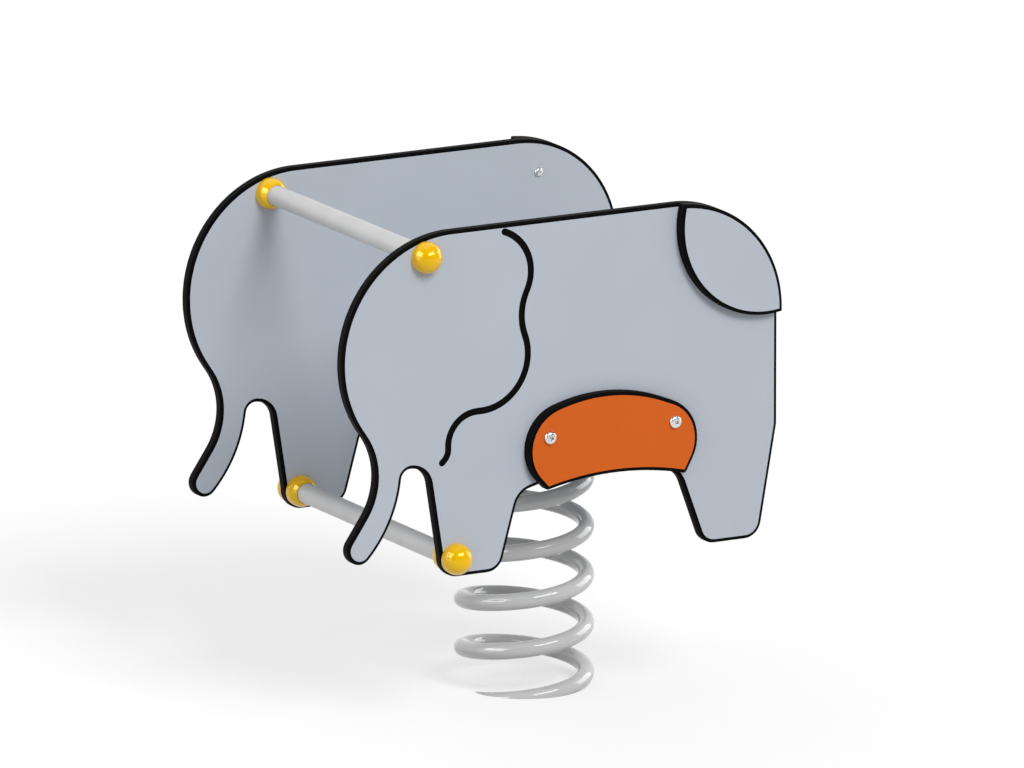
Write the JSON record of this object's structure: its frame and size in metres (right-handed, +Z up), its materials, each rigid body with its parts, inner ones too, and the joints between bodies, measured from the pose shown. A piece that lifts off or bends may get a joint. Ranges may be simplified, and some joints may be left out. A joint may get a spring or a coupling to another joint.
{
  "type": "spring rider",
  "caption": "Playground spring rider with flat elephant-shaped side panels, a seat, handlebar and footrest bar, carried by a coil spring that is anchored in the ground.",
  "frame": {"origin": "centre of the anchor plate's underside, on the axis of the spring", "axes": "+X forward to the trunk, +Y to the rider's left, +Z up"},
  "size_m": [0.6425, 0.4894, 0.7645],
  "materials": {
    "grey_sheet": "fine orange-peel grey skins on a black core",
    "orange_sheet": "fine orange-peel orange skin on a black core",
    "yellow_plastic": "glossy moulded plastic",
    "bar_steel": "satin stainless tube",
    "spring_paint": "glossy grey powder coat",
    "stainless_steel": "bright stainless steel",
    "fastener_steel": "zinc plated",
    "galvanised_steel": "hot-dip galvanised"
  },
  "bodies": {
    "ground_anchor": {"anchor_plate": "galvanised_steel", "bottom_spring_clamps": "galvanised_steel", "bottom_clamp_bolts": "fastener_steel"},
    "spring": {"coil_spring": "spring_paint"},
    "rider": {"top_spring_clamps": "galvanised_steel", "top_clamp_bolts": "fastener_steel", "top_clamp_nuts": "fastener_steel", "seat_carrier": "galvanised_steel", "seat_board": "grey_sheet", "seat_screws": "stainless_steel", "seat_nuts": "fastener_steel", "left_panel": "grey_sheet", "right_panel": "grey_sheet", "left_rump_plate": "grey_sheet", "right_rump_plate": "grey_sheet", "rump_screws": "stainless_steel", "left_belly_plate": "orange_sheet", "right_belly_plate": "orange_sheet", "belly_bolts": "stainless_steel", "belly_washers": "fastener_steel", "belly_nuts": "fastener_steel", "handlebar": "bar_steel", "footrest_bar": "bar_steel", "bar_end_plugs": "fastener_steel", "bar_bolts": "fastener_steel", "handlebar_cap_bases": "yellow_plastic", "handlebar_caps": "yellow_plastic", "handlebar_collars": "yellow_plastic", "footrest_cap_bases": "yellow_plastic", "footrest_caps": "yellow_plastic", "footrest_collars": "yellow_plastic"}
  },
  "joints": [
    {"name": "rock", "type": "hinge", "parent": "ground_anchor", "child": "spring", "pos_m": [0, 0, 0.17], "axis": [0, 1, 0], "range_deg": [-20, 20], "stiffness_Nm_per_rad": 675, "springref_deg": -0.53, "deforming": ["coil_spring"]},
    {"name": "sway", "type": "hinge", "parent": "spring", "child": "rider", "pos_m": [0, 0, 0.32], "axis": [1, 0, 0], "range_deg": [-15, 15], "stiffness_Nm_per_rad": 675, "deforming": ["coil_spring"]}
  ]
}
